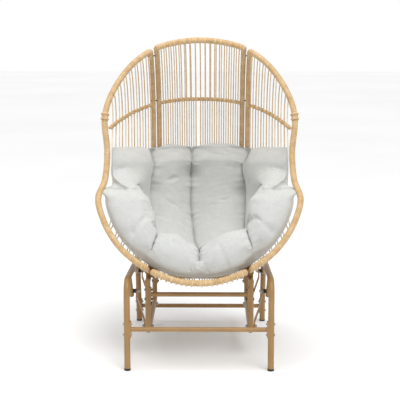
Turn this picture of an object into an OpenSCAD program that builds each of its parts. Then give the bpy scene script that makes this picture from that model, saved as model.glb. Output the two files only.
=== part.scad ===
// Gliding egg chair: an open egg of wicker-wrapped tube on a floor-standing
// glider base. Origin on the floor at the middle of the base; +Z up, the
// sitter faces -Y, X runs from one arm to the other.

/* [Base] */
// Distance between the middles of the two side frames
base_track = 644; // [630:1:660]
// Distance from the front feet to the rear feet
base_depth = 820; // [800:5:840]
// Height of the side frame's top bend at the front
rail_front_z = 412; // [405:1:416]
// Height of the side frame's top bend at the rear
rail_rear_z = 355; // [345:1:365]
// Diameter of the side frame tube
base_tube_d = 28; // [26:1:30]
// Diameter of the crossbars
crossbar_d = 21; // [19:1:22]
// Height of the front crossbar's middle
front_bar_z = 190; // [170:1:200]
// Height of the rear crossbar's middle
rear_bar_z = 85; // [70:1:100]

/* [Glider] */
// Height of the upper pivots
pivot_top_z = 300; // [295:1:305]
// Height of the lower pivots
pivot_low_z = 128; // [124:1:132]
// Front pivots, measured from the middle of the chair
front_pivot_y = -148; // [-152:1:-140]
// Rear pivots, measured from the middle of the chair
rear_pivot_y = 270; // [260:1:276]
// Thickness of a link bar
link_t = 6; // [5:0.5:6]
// Width of a link bar
link_w = 26; // [24:1:28]
// Diameter of the pivot bolts
pivot_bolt_d = 10; // [8:0.5:10]

/* [Cradle] */
// Distance between the middles of the cradle's two side loops
cradle_track = 474; // [470:1:476]
// Diameter of the cradle tube
cradle_tube_d = 25; // [24:0.5:25]
// Middle of the front uprights
cradle_front_y = -250; // [-252:1:-246]
// Middle of the rear uprights
cradle_rear_y = 350; // [346:1:352]

/* [Shell] */
// Diameter of the wrapped rim round the hood
hood_rim_d = 28; // [25:1:29]
// Diameter of the wrapped rim round the seat
seat_rim_d = 29; // [26:1:30]
// Diameter of the two wrapped tubes at each seam
seam_tube_d = 22; // [19:1:23]
// Distance of each seam from the middle of the chair
seam_x = 221; // [218:1:223]
// Width of one wicker strand
strand_w = 7; // [5:0.5:8]
// Spacing of the strands of the side panels
strand_pitch = 26; // [24:0.5:26]
// Diameter of the braided band
band_d = 18; // [14:1:20]

/* [Hidden] */
$fn = 48;

wicker = "#DDBB82";
steel = "#B08E58";
fabric = "#CDD0CD";
black = "#1C1C1E";
zinc = "#B8BABC";

base_x = base_track / 2;
base_y = base_depth / 2;
cradle_x = cradle_track / 2;
rake = 14;                 // lean of the rear legs from upright, degrees
wall = 1.5;                // wall of every steel tube
base_bend = 62;            // bend radius on the tube's middle line
cradle_bend = 45;
post_d = 22;
cap_h = 10;                // visible height of a foot cap
clear = 0.06;              // running clearance of a pivot, radial
play = 0.4;                // by how much a bolt's hole is wider than the bolt
seat_play = 0.2;           // by how much a saddle or a ring is wider than what it sits on

// ---------------------------------------------------------------- helpers

function unit(v) = v / norm(v);
function heading(v) = atan2(v[1], v[0]);
function turn(a, b) = let (t = heading(b) - heading(a)) t > 180 ? t - 360 : t < -180 ? t + 360 : t;

// A rod of diameter d between two points of the XY plane.
module rod_2p(a, b, d) {
    translate([a[0], a[1], 0]) rotate([0, 0, heading(b - a)]) rotate([0, 90, 0])
        cylinder(h = norm(b - a), d = d);
}

// Points of a bend of radius r at b, on the way from a to c.
function bend(a, b, c, r, n = 6) = let (u = unit(b - a), t = turn(u, c - b),
    side = t > 0 ? [-u[1], u[0]] : [u[1], -u[0]], o = b - u * r * tan(abs(t) / 2) + side * r)
    [for (i = [0 : n]) o + r * [cos(heading(-side) + t * i / n), sin(heading(-side) + t * i / n)]];

// A polyline with its inner corners bent to radius r.
function bent_line(p, r) = [
    p[0],
    for (i = [1 : len(p) - 2]) each bend(p[i - 1], p[i], p[i + 1], r),
    p[len(p) - 1]
];

// The same points in the YZ plane at x.
function in_side_plane(x, p) = [for (q = p) [x, q[0], q[1]]];

// Turns the XY plane into the YZ plane at x.
module side_plane(x) translate([x, 0, 0]) rotate([90, 0, 90]) children();

// Both sides of the chair.
module both_sides() for (s = [-1, 1]) scale_x(s) children();
module scale_x(s) if (s < 0) mirror([1, 0, 0]) children(); else children();

// A cylinder along X between x0 and x1.
module x_rod(x0, x1, y, z, d) translate([x0, y, z]) rotate([0, 90, 0]) cylinder(h = x1 - x0, d = d);

// A hexagon along X: a bolt head or a nut.
module x_hex(x0, x1, y, z, across) translate([x0, y, z]) rotate([0, 90, 0])
    cylinder(h = x1 - x0, d = across / cos(30), $fn = 6);

// Catmull-Rom point between q[1] and q[2] of a list of four.
function cr(q, t) = 0.5 * (2 * q[1] + (q[2] - q[0]) * t + (2 * q[0] - 5 * q[1] + 4 * q[2] - q[3]) * t * t
    + (3 * q[1] - q[0] - 3 * q[2] + q[3]) * t * t * t);

// A closed tube swept along points, with a radius at each point.
module sweep(points, radii, sides) {
    n = len(points);
    function tangent(i) = unit(points[min(i + 1, n - 1)] - points[max(i - 1, 0)]);
    function across(t) = unit(cross(t, abs(t[0]) > 0.9 ? [0, 0, 1] : [1, 0, 0]));
    function ring(i) = let (t = tangent(i), a = across(t), b = cross(t, a))
        [for (k = [0 : sides - 1]) let (turned = 360 * (k + 0.5) / sides)
            points[i] + radii[i] * (a * cos(turned) + b * sin(turned))];
    function corner(i, k) = i * sides + k % sides;
    polyhedron(
        points = [for (i = [0 : n - 1]) each ring(i)],
        faces = [
            [for (k = [0 : sides - 1]) corner(0, k)],
            for (i = [0 : n - 2]) for (k = [0 : sides - 1]) each [
                [corner(i + 1, k), corner(i, k + 1), corner(i, k)],
                [corner(i + 1, k), corner(i + 1, k + 1), corner(i, k + 1)]
            ],
            [for (k = [sides - 1 : -1 : 0]) corner(n - 1, k)]
        ]);
}
// The same with one radius all along.
module even_sweep(points, radius, sides = 8) sweep(points, [for (p = points) radius], sides);

// ------------------------------------------------------------- the egg

// Half of the rim, from the middle of the hood round the arm to the middle of
// the seat's front edge: [half width, y, z] of each shape point.
rim_points = [
    [0, 60, 1461], [121, 54, 1449], [224, 38, 1416], [323, 0, 1343], [402, -58, 1230], [437, -118, 1112],
    [425, -146, 960], [431, -205, 838], [454, -298, 762], [425, -345, 668], [377, -372, 588],
    [315, -388, 522], [221, -398, 459], [110, -402, 414], [0, -404, 400]
];
// The line down the middle of the shell, one [y, z] for each rim point.
spine_points = [
    [60, 1461], [100, 1445], [148, 1412], [222, 1342], [296, 1232], [344, 1110],
    [374, 960], [374, 820], [338, 660], [258, 530], [140, 432],
    [10, 378], [-140, 356], [-280, 366], [-404, 400]
];
arch_power = 2.3;          // fullness of the arches from rim to rim
last = len(rim_points) - 1;
function rim_knot(i) = let (p = rim_points[i < 0 ? -i : min(i, 2 * last - i)])
    i < 0 || i > last ? [-p[0], p[1], p[2]] : p;
function spine_knot(i) = let (end = i < 0 ? 0 : last)
    i < 0 || i > last ? 2 * spine_points[end] - spine_points[2 * end - i] : spine_points[i];
function rim_at(v) = let (i = min(floor(v), last - 1)) cr([for (k = [-1 : 2]) rim_knot(i + k)], v - i);
function spine_at(v) = let (i = min(floor(v), last - 1)) cr([for (k = [-1 : 2]) spine_knot(i + k)], v - i);
// The point a given share of the way from the rim's plane back to the spine, at half-width x.
function arch_point(x, v, back) = let (r = rim_at(v), p = spine_at(v))
    [x, r[1] + (p[0] - r[1]) * back, r[2] + (p[1] - r[2]) * back];

// Point of the shell at half-width x on the arch that starts at rim value v.
function shell_at(x, v) = let (part = pow(abs(x) / max(rim_at(v)[0], 0.01), arch_power))
    arch_point(x, v, pow(max(0, 1 - part), 1 / arch_power));

widest_hood = 5;           // rim value of the collar, the hood's widest point
widest_seat = 8;           // rim value of the seat's widest point
// Rim value where the rim's half-width is x, between a and b.
function rim_value(x, a, b, n = 24) = n == 0 ? (a + b) / 2 : let (m = (a + b) / 2)
    (rim_at(m)[0] < x) == (rim_at(a)[0] < x) ? rim_value(x, m, b, n - 1) : rim_value(x, a, m, n - 1);
function v_top(x) = rim_value(abs(x), 0, widest_hood);
function v_low(x) = rim_value(abs(x), widest_seat, last);

band_end_x = 424;          // half-width at which the braided band meets the rim
band_v = 4.56;             // rim value of the band in the middle of the back
band_drop = 0.84;          // how much lower it is at the rim
function band_value(x) = band_v + band_drop * pow(abs(x) / band_end_x, 2.4);
seat_v = 8.6;              // rim value where the back turns into the seat
function steps(a, b, n) = [for (i = [0 : n]) a + (b - a) * i / n];
// Values bunched towards a, where a strand leaves the rim steeply.
function eased(a, b, n) = [for (i = [0 : n]) a + (b - a) * pow(i / n, 1.6)];

module strand(x, v0, v1, n) even_sweep([for (v = eased(v0, v1, n)) shell_at(x, v)], strand_w / 2, 4);

// x of each strand of a panel.
first_strand = 26;         // from a seam to the first strand of a side panel
centre_strands = [for (i = [-8 : 8]) i * (seam_x - 24) / 8.5];
side_strands = [for (i = [0 : 6]) seam_x + first_strand + i * strand_pitch];

module hood_strands(xs) for (x = xs) strand(x, v_top(x), band_value(x), 7);
module back_strands(xs) for (x = xs) if (abs(x) < band_end_x) strand(x, band_value(x), seat_v, 9);
module seat_strands(xs) for (x = xs) if (v_low(x) > seat_v + 0.25) strand(x, v_low(x), seat_v, 9);

function ramp(t) = let (c = min(1, max(0, t))) c * c * (3 - 2 * c);
// The rim is slimmer round the hood; it grows just above the collar.
function rim_radius(v) = let (near = min(abs(v), 2 * last - v))
    (hood_rim_d + (seat_rim_d - hood_rim_d) * ramp((near - 4.6) / 0.8)) / 2;
// A point of the whole rim, which goes on up the left side beyond its two ends.
function whole_rim(v) = let (p = rim_at(min(abs(v), 2 * last - v)))
    v < 0 || v > last ? [-p[0], p[1], p[2]] : p;
module rim_run(v0, v1, n) {
    values = steps(v0, v1, n);
    sweep([for (v = values) whole_rim(v)], [for (v = values) rim_radius(v)], 10);
}

seam_gap = 12.5;           // from the middle of a seam to each of its two tubes
seam_side_x = seam_x + seam_gap;
seam_centre_x = seam_x - seam_gap;
module seam_run(x) even_sweep([for (v = steps(v_top(x), v_low(x), 34)) shell_at(x, v)], seam_tube_d / 2);

module panel_frame_centre() color(wicker) {
    top_v = v_top(seam_centre_x);
    low_v = v_low(seam_centre_x);
    rim_run(-top_v, top_v, 18);
    rim_run(low_v, 2 * last - low_v, 18);
    both_sides() seam_run(seam_centre_x);
}
module panel_frame_side() {
    rim_run(v_top(seam_side_x), v_low(seam_side_x), 52);
    seam_run(seam_side_x);
}
module panel_frame_left() color(wicker) scale_x(-1) panel_frame_side();
module panel_frame_right() color(wicker) panel_frame_side();

module band_run(x0, x1, n) even_sweep([for (x = steps(x0, x1, n)) shell_at(x, band_value(x))], band_d / 2);
module mid_band_centre() color(wicker) band_run(-seam_centre_x, seam_centre_x, 16);
module mid_band_left() color(wicker) band_run(-band_end_x, -seam_side_x, 10);
module mid_band_right() color(wicker) band_run(seam_side_x, band_end_x, 10);

// Wrapped collars where the hood tube joins the arm tube.
module rim_collars() color(wicker) both_sides() {
    sweep([for (v = steps(4.82, 5.12, 4)) rim_at(v)], [14, 17.5, 16.5, 17.5, 14], 12);
}
// Bolts that join the side panels to the centre panel, with their heads on the side panels.
panel_bolt_head = 13;
module panel_bolts() color(black) both_sides()
    for (v = [v_top(seam_side_x) + 0.35, band_value(seam_x) - 0.14, 7.4, v_low(seam_side_x) - 0.1]) {
        p = shell_at(seam_x, v);
        face_x = seam_side_x + seam_tube_d / 2;
        x_rod(seam_centre_x, face_x + 2, p[1], p[2], bar_bolt_d);
        x_rod(face_x - 0.5, face_x + 4, p[1], p[2], panel_bolt_head);
    }

module strands_hood_centre() color(wicker) hood_strands(centre_strands);
module strands_hood_right() color(wicker) hood_strands(side_strands);
module strands_hood_left() color(wicker) hood_strands(-side_strands);
module strands_back_centre() color(wicker) back_strands(centre_strands);
module strands_back_right() color(wicker) back_strands(side_strands);
module strands_back_left() color(wicker) back_strands(-side_strands);
module strands_seat_centre() color(wicker) seat_strands(centre_strands);
module strands_seat_right() color(wicker) seat_strands(side_strands);
module strands_seat_left() color(wicker) seat_strands(-side_strands);

// ---------------------------------------------------------------- base

rake_shift = tan(rake);
rear_top = [base_y - rail_rear_z * rake_shift, rail_rear_z];
frame_line = [[-base_y, cap_h], [-base_y, rail_front_z], rear_top, [base_y - cap_h * rake_shift, cap_h]];
rail_slope = (rail_front_z - rail_rear_z) / (rear_top[0] + base_y);
function rail_z(y) = rail_front_z - (y + base_y) * rail_slope;

// A hanger post slants down and back from the top rail, past its pivot.
post_lean = 108;           // from the post's top forward of its pivot
post_drop = 34;            // from the pivot down to the post's end
function post_top(y) = [y - post_lean, rail_z(y - post_lean)];
function post_dir(y) = unit([y, pivot_top_z] - post_top(y));
function post_end(y) = [y, pivot_top_z] + post_dir(y) * post_drop;
pivots_y = [front_pivot_y, rear_pivot_y];

module side_frame(s) color(steel) difference() {
    even_sweep(in_side_plane(s * base_x, bent_line(frame_line, base_bend)), base_tube_d / 2, 14);
    for (p = crossbar_bolt_places) bolt_hole(s * base_x, p);
}
module side_frame_left() side_frame(-1);
module side_frame_right() side_frame(1);

// Stub tubes welded to the top rails, which carry the glider's upper pivots.
module hanger_posts(y) color(steel) both_sides() difference() {
    side_plane(base_x) rod_2p(post_top(y), post_end(y), post_d);
    side_plane(base_x) rod_2p(post_end(y) - post_dir(y) * 16, post_end(y) + post_dir(y), post_d - 2 * wall);
    x_rod(0, base_x + post_d, y, pivot_top_z, pivot_bolt_d + play);
}
module hanger_posts_front() hanger_posts(front_pivot_y);
module hanger_posts_rear() hanger_posts(rear_pivot_y);

// Plastic caps that the legs stand on.
module foot_caps() color(black) both_sides() {
    translate([base_x, -base_y, 0]) cylinder(h = cap_h, d = base_tube_d + 1);
    intersection() {
        side_plane(base_x)
            rod_2p([base_y + 8 * rake_shift, -8], [base_y - cap_h * rake_shift, cap_h], base_tube_d + 1);
        translate([base_x - 30, base_y - 40, 0]) cube([60, 80, 60]);
    }
}

bar_bolt_d = 6;
bar_bolt_rise = 25;        // of a crossbar's bolts above and below its middle
plate_t = 4;               // thickness of a crossbar's end plate
function bar_bolt_z(z) = [z - bar_bolt_rise, z + bar_bolt_rise];
function rear_leg_y(z) = base_y - z * rake_shift;
// [y, z] of the bolts at one end of both crossbars.
crossbar_bolt_places = [
    for (z = bar_bolt_z(front_bar_z)) [-base_y, z],
    for (z = bar_bolt_z(rear_bar_z)) [rear_leg_y(z), z]
];
// A hole for a small bolt through a tube at x; p is its [y, z].
module bolt_hole(x, p) x_rod(x - 20, x + 20, p[0], p[1], bar_bolt_d + play);
plate_x = base_x - base_tube_d / 2 - plate_t;   // inner face of an end plate

// A crossbar with a saddle plate at each end, leaning with the leg. Its
// plates reach half-way round the leg.
module base_crossbar(z, y, lean) color(steel) {
    x_rod(-plate_x - 1, plate_x + 1, y, z, crossbar_d);
    both_sides() translate([plate_x, y, z]) rotate([lean, 0, 0]) difference() {
        translate([0, -13, -bar_bolt_rise - 12]) cube([plate_t + 8, 26, 2 * bar_bolt_rise + 24]);
        translate([base_x - plate_x, 0, -60]) cylinder(h = 120, d = base_tube_d + seat_play);
        for (k = [-1, 1]) x_rod(-1, 20, 0, k * bar_bolt_rise / cos(lean), bar_bolt_d + play);
    }
}
module front_crossbar() base_crossbar(front_bar_z, -base_y, 0);
module rear_crossbar() base_crossbar(rear_bar_z, rear_leg_y(rear_bar_z), rake);

// Bolts that hold the crossbars: domed head inside, nut outside the leg.
bar_nut = 10;              // across the flats of a small nut or bolt head
module crossbar_bolts() color(zinc) both_sides() for (p = crossbar_bolt_places) {
    x_rod(plate_x - 3, base_x + base_tube_d / 2 + 3, p[0], p[1], bar_bolt_d);
    translate([plate_x - 0.2, p[0], p[1]]) intersection() {
        sphere(d = 11);
        translate([-6, -6, -6]) cube([6, 12, 12]);
    }
    x_hex(base_x + base_tube_d / 2 + 0.1, base_x + base_tube_d / 2 + 4, p[0], p[1], bar_nut);
}

module post_caps() color(black) both_sides() for (y = pivots_y) side_plane(base_x) {
    rod_2p(post_end(y), post_end(y) + post_dir(y) * 5, post_d + 1);
    rod_2p(post_end(y) - post_dir(y) * 12, post_end(y) + post_dir(y), post_d - 2 * wall - 0.4);
}

// ---------------------------------------------------------------- glider

spacer_t = 10;             // length of an upper spacer
low_spacer_t = 6;
top_link_x = base_x - post_d / 2 - spacer_t - link_t - 2;       // inner face of a link at its top
low_link_x = cradle_x + cradle_tube_d / 2 + low_spacer_t;       // inner face of a link at its bottom
bolt_head_t = 6;
pivot_nut = 16;            // across the flats of a pivot bolt's head or nut
washer_d = 20;             // diameter of a washer or a spacer

// A flat bar with eyed ends: its top eye is further out than its low eye, and
// the slanted middle joins them.
module link_bar(s, y) color(steel) scale_x(s) difference() {
    union() {
        eye(top_link_x, y, pivot_top_z);
        eye(low_link_x, y, pivot_low_z);
        rise = pivot_top_z - pivot_low_z;
        translate([0, y + link_w / 2, 0]) rotate([90, 0, 0]) linear_extrude(link_w) polygon([
            [low_link_x, pivot_low_z], [low_link_x + link_t, pivot_low_z],
            [low_link_x + link_t, pivot_low_z + rise * 0.14],
            [top_link_x + link_t, pivot_top_z - rise * 0.2],
            [top_link_x + link_t, pivot_top_z], [top_link_x, pivot_top_z],
            [top_link_x, pivot_top_z - rise * 0.18], [low_link_x, pivot_low_z + rise * 0.16]
        ]);
    }
    x_rod(top_link_x - 2, top_link_x + link_t + 2, y, pivot_top_z, pivot_bolt_d + 2 * clear);
    x_rod(low_link_x - 2, low_link_x + link_t + 2, y, pivot_low_z, pivot_bolt_d + 2 * clear);
}
module eye(x, y, z) x_rod(x, x + link_t, y, z, link_w);
module link_front_left() link_bar(-1, front_pivot_y);
module link_front_right() link_bar(1, front_pivot_y);
module link_rear_left() link_bar(-1, rear_pivot_y);
module link_rear_right() link_bar(1, rear_pivot_y);

// Upper pivots: head outside the post, through the post, spacer and link.
module upper_pivot_bolts() color(zinc) both_sides() for (y = pivots_y) {
    head_x = base_x + post_d / 2 + 0.4;
    x_rod(top_link_x - 14, head_x + 1.6, y, pivot_top_z, pivot_bolt_d);
    x_hex(head_x, head_x + bolt_head_t, y, pivot_top_z, pivot_nut);
}
module upper_spacers() color(black) both_sides() for (y = pivots_y) difference() {
    x_rod(top_link_x + link_t + 1, base_x - post_d / 2 + 5, y, pivot_top_z, washer_d);
    x_rod(top_link_x, base_x, y, pivot_top_z, pivot_bolt_d + seat_play);
    side_plane(base_x) rod_2p(post_top(y), post_end(y), post_d + seat_play);
}
module upper_nuts() color(zinc) both_sides() for (y = pivots_y) difference() {
    union() {
        x_rod(top_link_x - 2.4, top_link_x - 0.4, y, pivot_top_z, washer_d);
        x_hex(top_link_x - 11, top_link_x - 2.4, y, pivot_top_z, pivot_nut);
    }
    x_rod(top_link_x - 20, top_link_x, y, pivot_top_z, pivot_bolt_d + 0.1);
}

// Lower pivots: nut inside the cradle rail, head outside the link.
low_out_x = low_link_x + link_t;
low_in_x = cradle_x - cradle_tube_d / 2;
module lower_pivot_bolts() color(zinc) both_sides() for (y = pivots_y) {
    x_rod(low_in_x - 8, low_out_x + 1, y, pivot_low_z, pivot_bolt_d);
    x_rod(low_out_x + 0.6, low_out_x + 2.2, y, pivot_low_z, washer_d);
    x_hex(low_out_x + 2.2, low_out_x + 2.2 + bolt_head_t, y, pivot_low_z, pivot_nut);
}
module lower_spacers() color(black) both_sides() for (y = pivots_y) difference() {
    x_rod(cradle_x + cradle_tube_d / 2 - 5, low_link_x - 0.6, y, pivot_low_z, washer_d);
    x_rod(0, base_x, y, pivot_low_z, pivot_bolt_d + seat_play);
    translate([cradle_x, y - 20, pivot_low_z]) rotate([-90, 0, 0])
        cylinder(h = 40, d = cradle_tube_d + seat_play);
}
module lower_nuts() color(zinc) both_sides() for (y = pivots_y) difference() {
    x_hex(low_in_x - 8, low_in_x - 0.2, y, pivot_low_z, pivot_nut);
    x_rod(low_in_x - 20, low_in_x + 2, y, pivot_low_z, pivot_bolt_d + 0.1);
}

// ---------------------------------------------------------------- cradle

cradle_top_front_z = 374;
cradle_top_rear_z = 340;
cradle_line = [[cradle_front_y, cradle_top_front_z], [cradle_front_y, pivot_low_z],
    [cradle_rear_y, pivot_low_z], [cradle_rear_y, cradle_top_rear_z]];
cradle_bar_z = 310;        // of the front crossbar
cradle_rear_bar_z = 250;

module cradle_side(s) color(steel) difference() {
    even_sweep(in_side_plane(s * cradle_x, bent_line(cradle_line, cradle_bend)), cradle_tube_d / 2, 14);
    for (y = pivots_y) x_rod(s * cradle_x - 20, s * cradle_x + 20, y, pivot_low_z, pivot_bolt_d + play);
    for (p = cradle_bolt_places) bolt_hole(s * cradle_x, p);
}
module cradle_side_left() cradle_side(-1);
module cradle_side_right() cradle_side(1);

// The rails that close the two side loops and carry the seat.
rail_over = 26;            // how far a seat rail runs past its uprights
function rail_mid_z(y) = cradle_top_front_z - (y - cradle_front_y) * top_rail_slope;
// A stretch of the rail between two values of y, as a rod of diameter d.
module rail_rod(y0, y1, d) side_plane(cradle_x) rod_2p([y0, rail_mid_z(y0)], [y1, rail_mid_z(y1)], d);
module seat_rails() color(steel) both_sides() difference() {
    rail_rod(cradle_front_y - rail_over, cradle_rear_y + rail_over, cradle_tube_d);
    for (y = seat_bolt_y)
        translate([cradle_x, y, rail_mid_z(y) - 30]) cylinder(h = 60, d = bar_bolt_d + play);
}

cradle_plate_x = cradle_x - cradle_tube_d / 2 - plate_t;
cradle_bolt_rise = 22;     // of a cradle bar's bolts above and below its middle
function cradle_bolt_z(z) = [z - cradle_bolt_rise, z + cradle_bolt_rise];
cradle_bolt_places = [
    for (z = cradle_bolt_z(cradle_bar_z)) [cradle_front_y, z],
    for (z = cradle_bolt_z(cradle_rear_bar_z)) [cradle_rear_y, z]
];
module cradle_bar(z, y) color(steel) {
    x_rod(-cradle_plate_x - 1, cradle_plate_x + 1, y, z, crossbar_d);
    both_sides() translate([cradle_plate_x, y, z]) difference() {
        translate([0, -12, -cradle_bolt_rise - 11]) cube([plate_t + 7, 24, 2 * cradle_bolt_rise + 22]);
        translate([cradle_x - cradle_plate_x, 0, -60]) cylinder(h = 120, d = cradle_tube_d + seat_play);
        for (k = [-1, 1]) x_rod(-1, 20, 0, k * cradle_bolt_rise, bar_bolt_d + play);
    }
}
module cradle_front_bar() cradle_bar(cradle_bar_z, cradle_front_y);
module cradle_rear_bar() cradle_bar(cradle_rear_bar_z, cradle_rear_y);
module cradle_bolts() color(black) both_sides() for (p = cradle_bolt_places) {
    x_rod(cradle_plate_x - 3, cradle_x + cradle_tube_d / 2 + 3, p[0], p[1], bar_bolt_d);
    x_hex(cradle_plate_x - 5, cradle_plate_x - 0.2, p[0], p[1], bar_nut);
    x_rod(cradle_x + cradle_tube_d / 2 + 0.2, cradle_x + cradle_tube_d / 2 + 3, p[0], p[1], 12);
}

// The seat's seam tubes rest on brackets on the seat rails.
top_rail_slope = (cradle_top_front_z - cradle_top_rear_z) / (cradle_rear_y - cradle_front_y);
function rail_top_z(y) = rail_mid_z(y) + cradle_tube_d / 2;
seat_bolt_y = [-170, 30];
// Height of the underside of the seam tubes at y, from the shell's own curve.
function seam_value(y, a, b, n = 20) = n == 0 ? (a + b) / 2 : let (m = (a + b) / 2)
    shell_at(seam_x, m)[1] > y ? seam_value(y, m, b, n - 1) : seam_value(y, a, m, n - 1);
function seam_z(y) = shell_at(seam_x, seam_value(y, 7, v_low(seam_x)))[2] - seam_tube_d / 2;
module seat_brackets() color(steel) both_sides() for (y = seat_bolt_y) difference() {
    low = rail_top_z(y);
    high = seam_z(y);
    translate([seam_x - 26, y - 22, low - 6]) cube([54, 44, high - low + 10]);
    rail_rod(y - 60, y + 60, cradle_tube_d + seat_play);
    translate([cradle_x, y, 0]) cylinder(h = 600, d = bar_bolt_d + play);
}
module seat_bolts() color(zinc) both_sides() for (y = seat_bolt_y) {
    low = rail_top_z(y) - cradle_tube_d;
    translate([cradle_x, y, low - 3]) cylinder(h = seam_z(y) + 8 - low, d = bar_bolt_d);
    translate([cradle_x, y, low - 5]) cylinder(h = 5, d = bar_nut / cos(30), $fn = 6);
}

// ---------------------------------------------------------------- cushion

cushion_gap = 24;          // from the shell's surface to the cushion
cushion_t = 115;           // plain thickness
roll_t = 75;               // extra thickness of the roll round the arms and front
wing_bulge = 25;           // how far the cushion's edge bows out beside the back
roll_bulge = 55;           // and in front of the rim
tip_flare = 40;            // how far the rolls' tips lean out over the rim
cushion_aim = [0, -190, 790];   // the cushion thickens towards this point
cushion_v = [6, 13.7];     // rim values of the top and front edges
roll_v = 7.2;              // rim value where the arm rolls start
edge_part = 0.5;           // part of the thickness left where its edge bows out most

// Angle to which the cushion reaches round the arch: to the rim below the arms.
function cushion_reach(v) = 84 + 6 * ramp((v - 6.4) / 1.1);
// Its top corners stand a little higher than the middle of its top edge.
function cushion_row_v(a, v) = v - 0.15 * a * a * (1 - ramp((v - cushion_v[0]) / 1.2));
// Point of the shell behind the cushion, a running from -1 to 1 across it.
function cushion_foot(a, v) = let (t = abs(a) * cushion_reach(v), across = pow(sin(t), 2 / arch_power))
    arch_point(sign(a) * across * rim_at(v)[0], v, pow(cos(t), 2 / arch_power));
function cushion_thick(a, v) = cushion_t * (0.6 + 0.4 * ramp((v - cushion_v[0]) / 0.5))
    + roll_t * max(ramp((abs(a) - 0.6) / 0.4) * ramp((v - roll_v) / 1.1), ramp((v - 11.9) / 1.6));
// The way the cushion's edge bows out: forwards, out of the shell.
function bow_out(v) = let (r = rim_at(v), p = spine_at(v)) unit([0, r[1] - p[0], r[2] - p[1]]);
function bow(v) = wing_bulge + (roll_bulge - wing_bulge) * ramp((v - roll_v) / 0.6);
function tip(v) = tip_flare * ramp((v - roll_v) / 0.3) * (1 - ramp((v - roll_v - 0.5) / 0.9));

// A row or column of the cushion's grid: its place, the part of the thickness
// it keeps, and the part of the bulge it has.
function grid(from, to, n) = [
    [from, edge_part, 1],
    for (t = steps(from, to, n)) [t, 1, 0],
    [to, edge_part, 1]
];
// A point of the cushion's face: side -1 at the shell, 1 at the sitter.
function cushion_pt(row, col, side) = let (v = row[0], a = col[0],
    foot = cushion_foot(a, cushion_row_v(a, v)),
    depth = 0.5 + 0.5 * side * min(row[1], col[1]),
    rise = v < 7 ? [0, 0, wing_bulge] : bow_out(v) * roll_bulge)
    foot + unit(cushion_aim - foot) * (cushion_gap + depth * cushion_thick(a, v))
    + (bow_out(v) * bow(v) + [sign(a) * tip(v) * (1 - depth), 0, 0]) * col[2]
    + rise * row[2] * (1 - col[2]);

cushion_rows = grid(cushion_v[0], cushion_v[1], 24);
cushion_cols = grid(-1, 1, 14);
row_end = len(cushion_rows) - 1;
col_end = len(cushion_cols) - 1;
function q(k, i, j) = (k * (row_end + 1) + i) * (col_end + 1) + j;
// Two triangles of the square between four corners.
function square_of(a, b, c, d) = [[a, b, c], [a, c, d]];
module cushion() color(fabric) polyhedron(
    points = [
        for (side = [-1, 1]) for (row = cushion_rows) for (col = cushion_cols) cushion_pt(row, col, side)
    ],
    faces = [
        for (i = [0 : row_end - 1]) for (j = [0 : col_end - 1])
            each square_of(q(0, i, j), q(0, i + 1, j), q(0, i + 1, j + 1), q(0, i, j + 1)),
        for (i = [0 : row_end - 1]) for (j = [0 : col_end - 1])
            each square_of(q(1, i, j), q(1, i, j + 1), q(1, i + 1, j + 1), q(1, i + 1, j)),
        for (i = [0 : row_end - 1])
            each square_of(q(0, i, 0), q(1, i, 0), q(1, i + 1, 0), q(0, i + 1, 0)),
        for (i = [0 : row_end - 1])
            each square_of(q(0, i, col_end), q(0, i + 1, col_end), q(1, i + 1, col_end), q(1, i, col_end)),
        for (j = [0 : col_end - 1])
            each square_of(q(0, 0, j), q(0, 0, j + 1), q(1, 0, j + 1), q(1, 0, j)),
        for (j = [0 : col_end - 1])
            each square_of(q(0, row_end, j), q(1, row_end, j), q(1, row_end, j + 1), q(0, row_end, j + 1))
    ]);

side_frame_left();
side_frame_right();
foot_caps();
front_crossbar();
rear_crossbar();
crossbar_bolts();
hanger_posts_front();
hanger_posts_rear();
post_caps();
upper_pivot_bolts();
upper_spacers();
upper_nuts();
link_front_left();
link_front_right();
link_rear_left();
link_rear_right();
cradle_side_left();
cradle_side_right();
seat_rails();
cradle_front_bar();
cradle_rear_bar();
cradle_bolts();
lower_pivot_bolts();
lower_spacers();
lower_nuts();
seat_brackets();
seat_bolts();
panel_frame_centre();
panel_frame_left();
panel_frame_right();
mid_band_centre();
mid_band_left();
mid_band_right();
rim_collars();
panel_bolts();
strands_hood_centre();
strands_hood_left();
strands_hood_right();
strands_back_centre();
strands_back_left();
strands_back_right();
strands_seat_centre();
strands_seat_left();
strands_seat_right();
cushion();
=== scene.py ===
"""Gliding egg chair of rattan-wound tube, with its tufted cushion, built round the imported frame.

Metres, +Z up, the sitter faces -Y. The egg's lines repeat those of the design: a rim, a spine
down the middle of the shell, and arches that join the two.
"""

import math

import bpy
import numpy as np
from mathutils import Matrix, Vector


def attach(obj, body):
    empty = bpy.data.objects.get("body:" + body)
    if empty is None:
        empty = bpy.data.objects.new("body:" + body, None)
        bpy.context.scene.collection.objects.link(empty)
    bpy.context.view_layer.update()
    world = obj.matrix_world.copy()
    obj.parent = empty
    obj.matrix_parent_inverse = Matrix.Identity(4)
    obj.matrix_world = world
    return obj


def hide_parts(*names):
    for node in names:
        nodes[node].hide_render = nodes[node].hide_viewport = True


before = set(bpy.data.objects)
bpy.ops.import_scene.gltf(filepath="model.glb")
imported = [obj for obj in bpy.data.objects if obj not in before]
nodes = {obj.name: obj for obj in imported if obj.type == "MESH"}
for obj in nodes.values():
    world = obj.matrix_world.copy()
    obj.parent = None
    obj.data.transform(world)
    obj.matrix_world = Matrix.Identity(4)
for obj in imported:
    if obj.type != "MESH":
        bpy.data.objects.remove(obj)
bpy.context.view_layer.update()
scene = bpy.context.scene

# ---------------------------------------------------------------- the egg's lines

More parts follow.
